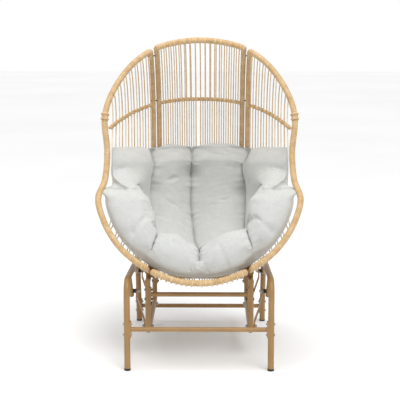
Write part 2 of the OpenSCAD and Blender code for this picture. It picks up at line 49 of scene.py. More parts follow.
# Half of the rim, from the middle of the hood round the arm to the middle of the seat's
# front edge: half width, y, z.
RIM = [
    (0, .060, 1.461), (.121, .054, 1.449), (.224, .038, 1.416), (.323, 0, 1.343), (.402, -.058, 1.230),
    (.437, -.118, 1.112), (.425, -.146, .960), (.431, -.205, .838), (.454, -.298, .762), (.425, -.345, .668),
    (.377, -.372, .588), (.315, -.388, .522), (.221, -.398, .459), (.110, -.402, .414), (0, -.404, .400),
]
# The line down the middle of the shell: y, z for each rim point.
SPINE = [
    (.060, 1.461), (.100, 1.445), (.148, 1.412), (.222, 1.342), (.296, 1.232), (.344, 1.110), (.374, .960),
    (.374, .820), (.338, .660), (.258, .530), (.140, .432), (.010, .378), (-.140, .356), (-.280, .366),
    (-.404, .400),
]
LAST = len(RIM) - 1
WIDEST_HOOD, WIDEST_SEAT = 5, 8  # rim values of the hood's and the seat's widest points
BULGE = 2.3  # power of the arch from rim to rim


def rim_knot(i):
    if 0 <= i <= LAST:
        return Vector(RIM[i])
    x, y, z = RIM[-i if i < 0 else 2 * LAST - i]
    return Vector((-x, y, z))


def spine_knot(i):
    if 0 <= i <= LAST:
        return Vector((0, *SPINE[i]))
    end = 0 if i < 0 else LAST
    return 2 * Vector((0, *SPINE[end])) - Vector((0, *SPINE[2 * end - i]))


def catmull_rom(knot, v):
    """The smooth line through the knots, at value v."""
    i = min(int(v), LAST - 1)
    t = v - i
    a, b, c, d = (knot(i + k) for k in (-1, 0, 1, 2))
    square, cube = 2 * a - 5 * b + 4 * c - d, 3 * b - a - 3 * c + d
    return 0.5 * (2 * b + (c - a) * t + square * t ** 2 + cube * t ** 3)


def on_right(v):
    """The rim value on the right half, for one that may lie past either end."""
    return min(abs(v), 2 * LAST - v)


def rim_at(v):
    """A point of the rim. Past either end of the right half it goes on along the left."""
    p = catmull_rom(rim_knot, on_right(v))
    return p if 0 <= v <= LAST else Vector((-p.x, p.y, p.z))


def shell_at(x, v):
    """A point of the shell at half-width x on the arch that starts at rim value v."""
    rim, spine = catmull_rom(rim_knot, v), catmull_rom(spine_knot, v)
    rise = max(0, 1 - (abs(x) / max(rim.x, 1e-5)) ** BULGE) ** (1 / BULGE)
    return Vector((x, rim.y + (spine.y - rim.y) * rise, rim.z + (spine.z - rim.z) * rise))


def rim_value(x, low, high):
    """The rim value between low and high where the rim's half-width is x."""
    rising = catmull_rom(rim_knot, low).x < catmull_rom(rim_knot, high).x
    for _ in range(24):
        middle = (low + high) / 2
        if (catmull_rom(rim_knot, middle).x < x) == rising:
            low = middle
        else:
            high = middle
    return (low + high) / 2


def v_top(x):
    return rim_value(abs(x), 0, WIDEST_HOOD)


def v_low(x):
    return rim_value(abs(x), WIDEST_SEAT, LAST)


BAND_END_X = .424  # half-width at which the rope band meets the rim
BAND_MIDDLE, BAND_DROP = 4.56, .84  # its rim value in the middle, and what its ends add
BAND_CURVE = 2.4  # power of the line between


def band_value(x):
    """Rim value of the rope band at x: highest in the middle of the back."""
    return BAND_MIDDLE + BAND_DROP * (abs(x) / BAND_END_X) ** BAND_CURVE


def steps(a, b, n):
    """The values from a to b in n equal steps."""
    return [a + (b - a) * i / n for i in range(n + 1)]


def ramp(t):
    """A smooth rise from 0 at t = 0 to 1 at t = 1."""
    t = min(1, max(0, t))
    return t * t * (3 - 2 * t)


# ---------------------------------------------------------------- making by hand

SIDES = (("left", -1), ("right", 1))


def deselect():
    if bpy.context.object and bpy.context.object.mode != "OBJECT":
        bpy.ops.object.mode_set(mode="OBJECT")
    bpy.ops.object.select_all(action="DESELECT")


def pick(piece):
    deselect()
    piece.select_set(True)
    bpy.context.view_layer.objects.active = piece
    return piece


def fix_modifier(piece, kind, **settings):
    """Adds a modifier, sets it and applies it."""
    pick(piece)
    modifier = piece.modifiers.new(kind.lower(), kind)
    for key, value in settings.items():
        setattr(modifier, key, value)
    bpy.ops.object.modifier_apply(modifier=modifier.name)


def close_and_turn_out(piece, sides):
    """Closes the open ends of a swept shape, rings of that many sides, and turns its faces out."""
    pick(piece)
    bpy.ops.object.mode_set(mode="EDIT")
    bpy.ops.mesh.select_mode(type="EDGE")
    bpy.ops.mesh.select_all(action="DESELECT")
    bpy.ops.mesh.select_non_manifold()
    bpy.ops.mesh.fill_holes(sides=sides)
    bpy.ops.mesh.select_all(action="SELECT")
    bpy.ops.mesh.normals_make_consistent(inside=False)
    bpy.ops.object.mode_set(mode="OBJECT")


def drawn_curve(name, runs, radii=None):
    """A curve object with one line through each run of points."""
    curve = bpy.data.curves.new(name, "CURVE")
    curve.dimensions = "3D"
    curve.twist_mode = "MINIMUM"
    for points in runs:
        line = curve.splines.new("POLY")
        line.points.add(len(points) - 1)
        for knot, place, radius in zip(line.points, points, radii or [1] * len(points)):
            knot.co = (*place, 1)
            knot.radius = radius
    made = bpy.data.objects.new(name, curve)
    scene.collection.objects.link(made)
    return made


def run_length(points):
    return sum((b - a).length for a, b in zip(points, points[1:]))


def bend_along(piece, points, radii=None):
    """Bends a shape that lies along X onto the points, then removes the guide."""
    rail = drawn_curve("guide", [points], radii)
    rail.data.use_radius = True
    rail.data.use_stretch = True
    rail.data.use_deform_bounds = True
    fix_modifier(piece, "CURVE", object=rail, deform_axis="POS_X")
    bpy.data.objects.remove(rail)


def tube(name, runs, radius, sides):
    """Round rods along runs of points, closed at their ends."""
    piece = drawn_curve(name, runs)
    piece.data.bevel_depth = radius
    piece.data.bevel_resolution = sides // 2 - 2
    piece.data.use_fill_caps = True
    pick(piece)
    bpy.ops.object.convert(target="MESH")
    bpy.ops.object.shade_smooth_by_angle(angle=math.radians(40))
    return bpy.context.object


def screwed(piece, pitch, turns, sides):
    """Sweeps a profile round the X axis and along it."""
    fix_modifier(
        piece, "SCREW", axis="X", angle=2 * math.pi, screw_offset=pitch, iterations=turns, steps=sides,
        render_steps=sides, use_smooth_shade=True,
    )


STRIP_PITCH = .0070  # from one turn of the wound strip to the next
STRIP_WIDE = 1.12  # width of the strip, as a share of its pitch
STRIP_THICK = .17  # its thickness, as a share of the tube's radius
STRIP_SIDES = 6  # corners of its section


def wound(name, points, radii, pitch=STRIP_PITCH):
    """A strip of rattan wound edge to edge round a tube along the points. It is wound at a
    radius of 1, and the guide's radii bring it to size."""
    turns = max(2, round(run_length(points) / pitch))
    deselect()
    bpy.ops.mesh.primitive_circle_add(vertices=STRIP_SIDES, radius=.5, location=(0, 0, 0))
    piece = bpy.context.object
    piece.name = name
    bpy.ops.object.mode_set(mode="EDIT")
    bpy.ops.mesh.select_all(action="SELECT")
    bpy.ops.transform.resize(value=(pitch * STRIP_WIDE, STRIP_THICK, 1))
    bpy.ops.transform.translate(value=(0, 1 - STRIP_THICK / 2, 0))
    bpy.ops.object.mode_set(mode="OBJECT")
    screwed(piece, pitch, turns, 12)
    close_and_turn_out(piece, STRIP_SIDES)
    bend_along(piece, points, radii)
    return piece


ROPE_STRAND = .58  # radius of a rope's strand, as a share of the rope's


def rope(name, points, radius, pitch, sides=8, strands=2):
    """Strands laid round one another along the points."""
    turns = max(1, round(run_length(points) / pitch))
    strand_r = radius * ROPE_STRAND
    deselect()
    bpy.ops.mesh.primitive_circle_add(
        vertices=sides, radius=strand_r, location=(0, 0, 0), rotation=(0, math.pi / 2, 0)
    )
    piece = bpy.context.object
    piece.name = name
    bpy.ops.object.transform_apply(location=False, rotation=True, scale=False)
    bpy.ops.object.mode_set(mode="EDIT")
    bpy.ops.mesh.select_all(action="SELECT")
    bpy.ops.transform.translate(value=(0, radius - strand_r, 0))
    for _ in range(strands - 1):
        bpy.ops.mesh.duplicate()
        bpy.ops.transform.rotate(value=2 * math.pi / strands, orient_axis="X", center_override=(0, 0, 0))
    bpy.ops.object.mode_set(mode="OBJECT")
    screwed(piece, pitch, turns, 24)
    close_and_turn_out(piece, sides)
    bend_along(piece, points)
    return piece


def joined(name, pieces):
    """One piece made of several."""
    deselect()
    for piece in pieces:
        piece.select_set(True)
    bpy.context.view_layer.objects.active = pieces[0]
    bpy.ops.object.join()
    bpy.context.object.name = name
    return bpy.context.object


# ---------------------------------------------------------------- materials


def linear(colour, alpha=1.0):
    """An sRGB hex colour as the linear values that a shader takes."""
    parts = [int(colour[i:i + 2], 16) / 255 for i in (1, 3, 5)]
    return (*[p / 12.92 if p <= .04045 else ((p + .055) / 1.055) ** 2.4 for p in parts], alpha)


def add(tree, kind, inputs=None, **settings):
    """Adds a node with its settings. An input is a constant or the socket it is linked from."""
    made = tree.nodes.new(kind)
    for key, value in settings.items():
        setattr(made, key, value)
    for key, value in (inputs or {}).items():
        if isinstance(value, bpy.types.NodeSocket):
            tree.links.new(value, made.inputs[key])
        else:
            made.inputs[key].default_value = value
    return made


def new_finish(name):
    """An empty material with its shader; returns the material, its tree, shader and place."""
    material = bpy.data.materials.new(name)
    material.use_nodes = True
    tree = material.node_tree
    shader = tree.nodes["Principled BSDF"]
    place = add(tree, "ShaderNodeTexCoord").outputs["Object"]
    return material, tree, shader, place


def two_tone(tree, factor, dark, light, low=.35, high=.65):
    """A colour between dark and light."""
    made = add(tree, "ShaderNodeValToRGB", {"Fac": factor})
    made.color_ramp.elements[0].position = low
    made.color_ramp.elements[0].color = linear(dark)
    made.color_ramp.elements[1].position = high
    made.color_ramp.elements[1].color = linear(light)
    return made.outputs["Color"]


def rattan(name, dark, light, streak):
    """Extruded polyethylene rattan: satin and lightly grooved, its colour wandering a little
    along it. streak is the grooves' scale per metre: small in Z for strands, which run up and
    down, and the same all round for a wound strip, which turns every way."""
    material, tree, shader, place = new_finish(name)
    blotch = add(tree, "ShaderNodeTexNoise", {"Vector": place, "Scale": 38.0, "Detail": 3.0})
    fine = add(tree, "ShaderNodeMapping", {"Vector": place, "Scale": streak})
    groove = add(tree, "ShaderNodeTexNoise", {"Vector": fine.outputs["Vector"], "Scale": 1.0, "Detail": 2.0})
    wander = add(tree, "ShaderNodeMix", {0: .45, 2: blotch.outputs["Fac"], 3: groove.outputs["Fac"]})
    colour = two_tone(tree, wander.outputs[0], dark, light, .36, .60)
    tree.links.new(colour, shader.inputs["Base Color"])
    bump = add(tree, "ShaderNodeBump", {"Height": groove.outputs["Fac"], "Strength": .35, "Distance": .0006})
    tree.links.new(bump.outputs["Normal"], shader.inputs["Normal"])
    shader.inputs["Roughness"].default_value = .52
    shader.inputs["IOR"].default_value = 1.51
    return material


def powder_coat(name, dark, light):
    """Polyester powder coat baked on steel: even and satin, with a faint orange peel."""
    material, tree, shader, place = new_finish(name)
    drift = add(tree, "ShaderNodeTexNoise", {"Vector": place, "Scale": 9.0, "Detail": 4.0})
    tree.links.new(two_tone(tree, drift.outputs["Fac"], dark, light), shader.inputs["Base Color"])
    peel = add(tree, "ShaderNodeTexNoise", {"Vector": place, "Scale": 700.0, "Detail": 1.0})
    bump = add(tree, "ShaderNodeBump", {"Height": peel.outputs["Fac"], "Strength": .12, "Distance": .0004})
    tree.links.new(bump.outputs["Normal"], shader.inputs["Normal"])
    rough = add(tree, "ShaderNodeMapRange", {"Value": drift.outputs["Fac"], "To Min": .38, "To Max": .48})
    tree.links.new(rough.outputs["Result"], shader.inputs["Roughness"])
    shader.inputs["Coat Weight"].default_value = .15
    return material


def woven_polyester(name, dark, light):
    """Plain-woven outdoor polyester in a heather grey: matt, with slubbed threads both ways."""
    material, tree, shader, place = new_finish(name)
    # Each set of threads is a noise drawn out along the thread, as coarse as it shows.
    across = add(tree, "ShaderNodeMapping", {"Vector": place, "Scale": (620, 90, 90)})
    along = add(tree, "ShaderNodeMapping", {"Vector": place, "Scale": (90, 480, 480)})
    weft = add(tree, "ShaderNodeTexNoise", {"Vector": across.outputs["Vector"], "Scale": 1.0, "Detail": 2.0})
    warp = add(tree, "ShaderNodeTexNoise", {"Vector": along.outputs["Vector"], "Scale": 1.0, "Detail": 2.0})
    weave = add(tree, "ShaderNodeMix", {0: .5, 2: weft.outputs["Fac"], 3: warp.outputs["Fac"]})
    cloud = add(tree, "ShaderNodeTexNoise", {"Vector": place, "Scale": 26.0, "Detail": 5.0})
    heather = add(tree, "ShaderNodeMix", {0: .25, 2: weave.outputs[0], 3: cloud.outputs["Fac"]})
    tree.links.new(two_tone(tree, heather.outputs[0], dark, light, .38, .60), shader.inputs["Base Color"])
    bump = add(tree, "ShaderNodeBump", {"Height": weave.outputs[0], "Strength": .4, "Distance": .0008})
    tree.links.new(bump.outputs["Normal"], shader.inputs["Normal"])
    shader.inputs["Roughness"].default_value = .92
    shader.inputs["Sheen Weight"].default_value = .25
    shader.inputs["Sheen Roughness"].default_value = .5
    return material


def moulded_polypropylene(name, dark, light):
    """Injection-moulded polypropylene: black, with the fine spark texture of its mould."""
    material, tree, shader, place = new_finish(name)
    spark = add(tree, "ShaderNodeTexNoise", {"Vector": place, "Scale": 900.0, "Detail": 2.0})
    tree.links.new(two_tone(tree, spark.outputs["Fac"], dark, light), shader.inputs["Base Color"])
    bump = add(tree, "ShaderNodeBump", {"Height": spark.outputs["Fac"], "Strength": .3, "Distance": .0004})
    tree.links.new(bump.outputs["Normal"], shader.inputs["Normal"])
    shader.inputs["Roughness"].default_value = .55
    return material


def plated(name, dark, light, roughness):
    """Plated or blacked steel fasteners: fine tumbling marks, with grime in patches."""
    material, tree, shader, place = new_finish(name)
    marks = add(tree, "ShaderNodeTexNoise", {"Vector": place, "Scale": 320.0, "Detail": 5.0})
    tree.links.new(two_tone(tree, marks.outputs["Fac"], dark, light), shader.inputs["Base Color"])
    smooth, dull = roughness - .08, roughness + .1
    rough = add(tree, "ShaderNodeMapRange", {"Value": marks.outputs["Fac"], "To Min": smooth, "To Max": dull})
    tree.links.new(rough.outputs["Result"], shader.inputs["Roughness"])
    shader.inputs["Metallic"].default_value = .9
    return material


STRUNG = rattan("strung_rattan", "#C6A472", "#DFC296", (700, 700, 40))
PALE = rattan("pale_rattan", "#CFC0A6", "#E9DFCD", (700, 700, 40))
WOUND = rattan("wound_rattan", "#B99767", "#D3B589", (420, 420, 420))
STEEL = powder_coat("gold_tan_powder_coat", "#957242", "#9F7B4B")
CLOTH = woven_polyester("heather_polyester", "#B7B8B5", "#C5C6C3")
PLASTIC = moulded_polypropylene("black_polypropylene", "#17171A", "#242427")
BLACK_BOLT = plated("black_oxide_steel", "#1C1B1B", "#343230", .45)
ZINC = plated("zinc_plated_steel", "#8E9092", "#B9BBBD", .35)


def finish_of_node(name):
    """The finish of a CAD node, from what the part is."""
    if name.endswith("_caps") or name.endswith("_spacers"):
        return PLASTIC
    if name in ("panel_bolts", "cradle_bolts"):
        return BLACK_BOLT
    if name.endswith("_bolts") or name.endswith("_nuts"):
        return ZINC
    if name == "cushion":
        return CLOTH
    if name.startswith(("panel_", "mid_", "rim_", "strands_")):
        return WOUND
    return STEEL


for node_name, node in nodes.items():
    for slot in node.material_slots:
        slot.material = finish_of_node(node_name)


def done(piece, finish, slot, body, *stands_for):
    """Gives a finished piece its material and its body."""
    if finish:
        piece.data.materials.clear()
        piece.data.materials.append(finish)
    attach(piece, body)
    if stands_for:
        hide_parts(*stands_for)
    return piece


# ---------------------------------------------------------------- rims and seams

HOOD_RIM_R = .014
SEAT_RIM_R = .0145
SEAM_R = .011
SEAM_X = .221
SEAM_GAP = .0125  # from the middle of a seam to each of its two tubes
CORNER_CUT = .008  # from a panel's corner to where its bend starts
SWELL_FROM, SWELL_OVER = 4.6, .8  # rim value where the seat's thicker rim begins, and its taper


def rim_radius(v):
    """The rim is a little slimmer round the hood than round the seat."""
    return HOOD_RIM_R + (SEAT_RIM_R - HOOD_RIM_R) * ramp((on_right(v) - SWELL_FROM) / SWELL_OVER)


def rim_run(low, high, n, side=1):
    """Points of the rim with the tube's radius at each."""
    run = []
    for v in steps(low, high, n):
        p = rim_at(v)
        run.append((Vector((side * p.x, p.y, p.z)), rim_radius(v)))
    return run


def seam_run(x, low, high, n=60):
    return [(shell_at(x, v), SEAM_R) for v in steps(low, high, n)]


def trimmed(run, cut, at_start, at_end):
    """The run without what lies within cut of its start, of its end, or of both."""
    ends = [run[i][0] for i, wanted in ((0, at_start), (-1, at_end)) if wanted]
    return [knot for knot in run if all((knot[0] - end).length > cut for end in ends)]


def bent_loop(runs):
    """One line through all the runs, with a round bend where each meets the next."""
    last = len(runs) - 1
    parts = [trimmed(run, CORNER_CUT, i > 0, i < last) for i, run in enumerate(runs)]
    line = list(parts[0])
    for i, part in enumerate(parts[1:]):
        (a, a_radius), (b, _), (c, c_radius) = line[-1], runs[i][-1], part[0]
        for t in steps(0, 1, 6)[1:-1]:
            place = a * (1 - t) ** 2 + b * 2 * t * (1 - t) + c * t ** 2
            line.append((place, a_radius + (c_radius - a_radius) * t))
        line += part
    return line


def wound_loop(name, runs):
    line = bent_loop(runs)
    return wound(name, [place for place, _ in line], [radius for _, radius in line])


SEAM_MIDDLE = 7.3  # rim value where a panel's winding starts and ends, behind the cushion
centre_x, side_x = SEAM_X - SEAM_GAP, SEAM_X + SEAM_GAP
top_v, low_v = v_top(centre_x), v_low(centre_x)
centre_loop = wound_loop("wound_frame_centre", [
    seam_run(-centre_x, SEAM_MIDDLE, top_v),
    rim_run(-top_v, top_v, 50),
    seam_run(centre_x, top_v, low_v, 110),
    rim_run(low_v, 2 * LAST - low_v, 50),
    seam_run(-centre_x, low_v, SEAM_MIDDLE),
])
done(centre_loop, WOUND, "wicker", "seat", "panel_frame_centre")
for side_name, side in SIDES:
    top_v, low_v = v_top(side_x), v_low(side_x)
    side_loop = wound_loop("wound_frame_" + side_name, [
        seam_run(side * side_x, SEAM_MIDDLE, top_v),
        rim_run(top_v, low_v, 240, side),
        seam_run(side * side_x, low_v, SEAM_MIDDLE),
    ])
    done(side_loop, WOUND, "wicker", "seat", "panel_frame_" + side_name)

# ---------------------------------------------------------------- strands

STRAND_R = .0028
STRAND_SINK = .0010  # how far a strand presses into the rim that it passes over
LAYER_AT_BAND = .005  # from the shell to each layer of a strand, where it passes the band
LAYER_CLOSING = 1.4  # power by which the two layers close in from the rim to the band
CROWDING = 1.5  # power that crowds a strand's points towards the rim, where it bends most
FULL_SPREAD_X = .12  # half-width from which the hood's strands splay fully
SEAM_CLEAR = .024  # from a seam to the edge of the centre panel's strands
CENTRE_HALF = 8  # strands on each side of the middle one
CENTRE_PITCH = (SEAM_X - SEAM_CLEAR) / (CENTRE_HALF + .5)
SIDE_STRANDS, SIDE_PITCH = 7, .026
AIM = Vector((0, -.190, .790))  # the middle of the egg
centre_xs = [i * CENTRE_PITCH for i in range(-CENTRE_HALF, CENTRE_HALF + 1)]
side_xs = [SEAM_X + SIDE_PITCH + SIDE_PITCH * i for i in range(SIDE_STRANDS)]
# For each zone: where a strand starts on the rim, its steps down to the band, the rim's radius.
ZONES = {"hood": (v_top, 14, HOOD_RIM_R), "body": (v_low, 34, SEAT_RIM_R)}


def layer(x, v_rim, v_end, n, over, face):
    """One face of a strand, from the rim: face 1 is the sitter's side, -1 the outer side.
    Returns its points, and the rim's middle with the ways in and along there."""
    line = [shell_at(x, v_rim + (v_end - v_rim) * (i / n) ** CROWDING) for i in range(n + 1)]
    headings = [(b - a).normalized() for a, b in zip(line, line[1:])]
    headings.append(headings[-1])
    length, gone, made = run_length(line), 0, []
    for i, point in enumerate(line):
        inward = Vector((0, headings[i].z, -headings[i].y))
        if inward.dot(AIM - point) < 0:
            inward.negate()
        gap = LAYER_AT_BAND + (over - LAYER_AT_BAND) * (1 - gone / length) ** LAYER_CLOSING
        made.append(point + inward * gap * face)
        if i == 0:
            start = (point, inward, headings[0])
        if i < n:
            gone += (line[i + 1] - point).length
    return made, start


def doubled(x, spread, zone):
    """A strand that goes down the sitter's side, and from over the rim down the outer side,
    spread further out. Returns the two runs of points."""
    v_rim, n, over = ZONES[zone]
    over -= STRAND_SINK
    back_x = x + math.copysign(spread, x)
    face, (rim_a, inward, along) = layer(x, v_rim(x), band_value(x), n, over, 1)
    back, (rim_b, _, _) = layer(back_x, v_rim(back_x), band_value(back_x), n, over, -1)
    turn = [
        rim_a.lerp(rim_b, t) + over * (inward * math.cos(math.pi * t) - along * math.sin(math.pi * t))
        for t in steps(0, 1, 6)[1:-1]
    ]
    return face[::-1] + turn, turn[-1:] + back


def strung(name, xs, zone, pitch):
    face_runs, back_runs = [], []
    for x in xs:
        spread = pitch / 2
        if zone == "hood" and abs(x) < SEAM_X:
            spread *= ramp(abs(x) / FULL_SPREAD_X)
        face, back = doubled(x, spread, zone)
        face_runs.append(face)
        back_runs.append(back)
    parts = []
    for runs, finish in ((face_runs, STRUNG), (back_runs, PALE)):
        part = tube(name, runs, STRAND_R, sides=6)
        part.data.materials.clear()
        part.data.materials.append(finish)
        parts.append(part)
    return joined(name, parts)


STRAND_PLACES = {
    "centre": (centre_xs, CENTRE_PITCH),
    "left": ([-x for x in side_xs], SIDE_PITCH),
    "right": (side_xs, SIDE_PITCH),
}
for part, (xs, pitch) in STRAND_PLACES.items():
    hood = strung("strung_hood_" + part, xs, "hood", pitch)
    done(hood, None, "wicker", "seat", "strands_hood_" + part)
    body = strung("strung_body_" + part, xs, "body", pitch)
    done(body, None, "wicker", "seat", "strands_back_" + part, "strands_seat_" + part)

# ---------------------------------------------------------------- band and collars

BAND_R = .0105
ROPE_PITCH = .050


def band(name, x0, x1, n):
    return rope(name, [shell_at(x, band_value(x)) for x in steps(x0, x1, n)], BAND_R, ROPE_PITCH)


done(band("rope_band_centre", -centre_x, centre_x, 40), WOUND, "wicker", "seat", "mid_band_centre")
done(band("rope_band_left", -BAND_END_X, -side_x, 30), WOUND, "wicker", "seat", "mid_band_left")
done(band("rope_band_right", side_x, BAND_END_X, 30), WOUND, "wicker", "seat", "mid_band_right")


SLEEVE_ENDS = (4.84, 5.10)  # rim values
SLEEVE_R, SLEEVE_PITCH = .0160, .006
RING_PLACES = (4.89, 5.05)  # rim values
RING_R, RING_WIRE_R = .0158, .0042


def collar(side):
    """A wound sleeve with a ring near each end, where the hood's tube joins the arm's."""
    points = [Vector((side * rim_at(v).x, rim_at(v).y, rim_at(v).z)) for v in steps(*SLEEVE_ENDS, 12)]
    parts = [wound("sleeve", points, [SLEEVE_R] * len(points), SLEEVE_PITCH)]
    for v in RING_PLACES:
        place = rim_at(v)
        way = (rim_at(v + .02) - rim_at(v - .02)).normalized()
        place.x, way.x = side * place.x, side * way.x
        deselect()
        bpy.ops.mesh.primitive_torus_add(
            major_radius=RING_R, minor_radius=RING_WIRE_R, major_segments=32, minor_segments=12,
            location=place, rotation=way.to_track_quat("Z", "Y").to_euler(),
        )
        ring = bpy.context.object
        bpy.ops.object.transform_apply(location=True, rotation=True, scale=True)
        bpy.ops.object.shade_smooth()
        parts.append(ring)
    return joined("collar", parts)


done(joined("wound_collars", [collar(-1), collar(1)]), WOUND, "wicker", "seat", "rim_collars")

# ---------------------------------------------------------------- bent steel tubes

BASE_X, CRADLE_X = .322, .237
BASE_R, CRADLE_R = .014, .0125
BASE_BEND, CRADLE_BEND = .062, .045  # radii of the bends
CAP_H = .010
FRONT_Y, REAR_Y = -.410, .410  # the front leg, and the rear leg where it meets the floor
RAIL_FRONT_Z, RAIL_REAR_Z = .412, .355  # the top rail falls to the rear
RAKE = math.tan(math.radians(14))  # the rear leg leans forward as it rises
CRADLE_FRONT_Y, CRADLE_REAR_Y, CRADLE_Z = -.250, .350, .128
CRADLE_FRONT_TOP, CRADLE_REAR_TOP = .374, .340


def bent_line(corners, radius, n=10):
    """A line with its inner corners bent to a radius, in the plane of the corners."""
    line = [corners[0]]
    for a, b, c in zip(corners, corners[1:], corners[2:]):
        into, away = (b - a).normalized(), (c - b).normalized()
        turn = into.angle(away)
        start = b - into * radius * math.tan(turn / 2)
        side = (away - into * into.dot(away)).normalized()
        middle = start + side * radius
        for t in steps(0, turn, n):
            line.append(middle - side * radius * math.cos(t) + into * radius * math.sin(t))
    return line + [corners[-1]]


base_corners = [
    (FRONT_Y, CAP_H), (FRONT_Y, RAIL_FRONT_Z),
    (REAR_Y - RAIL_REAR_Z * RAKE, RAIL_REAR_Z), (REAR_Y - CAP_H * RAKE, CAP_H),
]
cradle_corners = [
    (CRADLE_FRONT_Y, CRADLE_FRONT_TOP), (CRADLE_FRONT_Y, CRADLE_Z),
    (CRADLE_REAR_Y, CRADLE_Z), (CRADLE_REAR_Y, CRADLE_REAR_TOP),
]
for side_name, side in SIDES:
    corners = [Vector((side * BASE_X, y, z)) for y, z in base_corners]
    leg_frame = tube("bent_frame_" + side_name, [bent_line(corners, BASE_BEND)], BASE_R, sides=24)
    done(leg_frame, STEEL, "frame_steel", "base", "side_frame_" + side_name)
    corners = [Vector((side * CRADLE_X, y, z)) for y, z in cradle_corners]
    loop = tube("bent_cradle_" + side_name, [bent_line(corners, CRADLE_BEND)], CRADLE_R, sides=24)
    done(loop, STEEL, "frame_steel", "seat", "cradle_side_" + side_name)

# ---------------------------------------------------------------- cushion

CUSHION_TOP, CUSHION_FRONT = 6.0, 13.7  # rim values of the cushion's top and front edges
CUSHION_GAP = .024  # from the shell to the cushion
SLACK = .008  # room left all round for the filling to swell
TIP_FLARE = .100  # how far the arm rolls' tips lean out over the rim
ARCH_SHARE = 2 / BULGE
BACK_THICK, ROLL_THICK = .115, .075  # thickness of the back, and what the roll round it adds
TOP_SHARE = .6  # share of the thickness at the top edge
WING_THIN = .5  # share of the thickness that a wing loses at its side edge
WING_INSET = .035  # share of the rim's width that the wings stay inside it
WING_LOW = .15  # how much lower, in rim values, the top edge is at its sides
ARM_FROM = .6  # value of a from which the wings and the arm rolls stand out
REACH, ROLL_REACH = 84, 6  # degrees round the arch to a side edge, and what the roll adds
SIDE_BOW, ROLL_BOW = .025, .030  # bow of the side edges, and what the roll adds
TOP_BOW, FRONT_BOW = .025, .055  # bow of the top edge and of the front edge
# What changes down the cushion: the rim value where each change begins, and its length.
WINGS_END = (6.6, .7)
TOP_LEVELS = (CUSHION_TOP, 1.2)  # the side edges' lowering fades out
TOP_FILLS = (CUSHION_TOP, .5)  # the top edge comes to its full thickness
REACH_GROWS = (6.4, 1.1)
ARMS_GROW = (7.2, 1.1)
BOW_GROWS = (6.8, .6)
TIPS_GROW, TIPS_FADE = (6.95, .35), (7.35, .8)
FRONT_GROWS = (11.9, 1.6)
ARCH_FADES = (12.4, 1.2)  # near its front edge the seat no longer follows the arch


def grown(v, change):
    start, length = change
    return ramp((v - start) / length)


def cushion_place(a, v, side, part=1.0, bulge=0.0, rise=0.0):
    """A point of the cushion. a runs across it from -1 to 1 and v down it; side is -1 at the
    shell and 1 at the sitter. part is the share of the thickness left near an edge, bulge and
    rise the shares of the edge's bow, sideways and lengthways."""
    depth = .5 + .5 * side * part
    wing = 1 - grown(v, WINGS_END)
    arm_side = ramp((abs(a) - ARM_FROM) / (1 - ARM_FROM))
    lifted = v - WING_LOW * a * a * (1 - grown(v, TOP_LEVELS))
    reach = math.radians(abs(a) * (REACH + ROLL_REACH * grown(lifted, REACH_GROWS)))
    rim, spine = catmull_rom(rim_knot, lifted), catmull_rom(spine_knot, lifted)
    across = math.sin(reach) ** ARCH_SHARE
    back = max(0, math.cos(reach)) ** ARCH_SHARE * (1 - grown(v, ARCH_FADES))
    foot = Vector((
        math.copysign(across * rim.x * (1 - WING_INSET * wing), a),
        rim.y + (spine.y - rim.y) * back, rim.z + (spine.z - rim.z) * back,
    ))
    rim, spine = catmull_rom(rim_knot, v), catmull_rom(spine_knot, v)
    out = Vector((0, rim.y - spine.y, rim.z - spine.z)).normalized()
    arm = arm_side * grown(v, ARMS_GROW)
    thick = BACK_THICK * (TOP_SHARE + (1 - TOP_SHARE) * grown(v, TOP_FILLS))
    thick *= 1 - WING_THIN * a ** 4 * wing
    thick += ROLL_THICK * max(arm, grown(v, FRONT_GROWS))
    tip = grown(v, TIPS_GROW) * (1 - grown(v, TIPS_FADE))
    way = (AIM - foot).normalized().lerp(out, arm_side * wing).normalized()
    place = foot + way * (CUSHION_GAP + SLACK + depth * (thick - 2 * SLACK))
    place += out * (SIDE_BOW + ROLL_BOW * grown(v, BOW_GROWS) - SLACK) * bulge
    place.x += math.copysign(TIP_FLARE * tip * (1 - depth) * bulge, a)
    onward = Vector((0, 0, TOP_BOW - SLACK)) if v < WIDEST_SEAT else out * (FRONT_BOW - SLACK)
    return place + onward * rise * (1 - bulge)


def rounded_grid(low, high, n, turns=6):
    """Places from low to high, each with the part of the thickness and the bow it has: both
    ends close in a half round."""
    ends = [(math.sin(t), math.cos(t)) for t in steps(0, math.pi / 2, turns)[:-1]]
    return (
        [(low, part, bow) for part, bow in ends] + [(t, 1.0, 0.0) for t in steps(low, high, n)]
        + [(high, part, bow) for part, bow in reversed(ends)]
    )


def cushion_form(name, na=52, nv=84):
    """The closed form of the cushion, before it is filled."""
    rows, cols = rounded_grid(CUSHION_TOP, CUSHION_FRONT, nv), rounded_grid(-1, 1, na)
    points = [
        cushion_place(a, v, side, min(v_part, a_part), bulge, rise)
        for side in (-1, 1) for v, v_part, rise in rows for a, a_part, bulge in cols
    ]
    width, half = len(cols), len(rows) * len(cols)
    faces = []
    for i in range(len(rows) - 1):
        for j in range(width - 1):
            low = i * width + j
            high = low + half
            faces.append((low, low + width, low + width + 1, low + 1))
            faces.append((high, high + 1, high + width + 1, high + width))
    mesh = bpy.data.meshes.new(name)
    mesh.from_pydata(points, [], faces)
    piece = bpy.data.objects.new(name, mesh)
    scene.collection.objects.link(piece)
    pick(piece)
    bpy.ops.object.mode_set(mode="EDIT")
    bpy.ops.mesh.select_all(action="SELECT")
    bpy.ops.mesh.remove_doubles(threshold=.00002)
    bpy.ops.mesh.normals_make_consistent(inside=False)
    bpy.ops.object.mode_set(mode="OBJECT")
    return piece


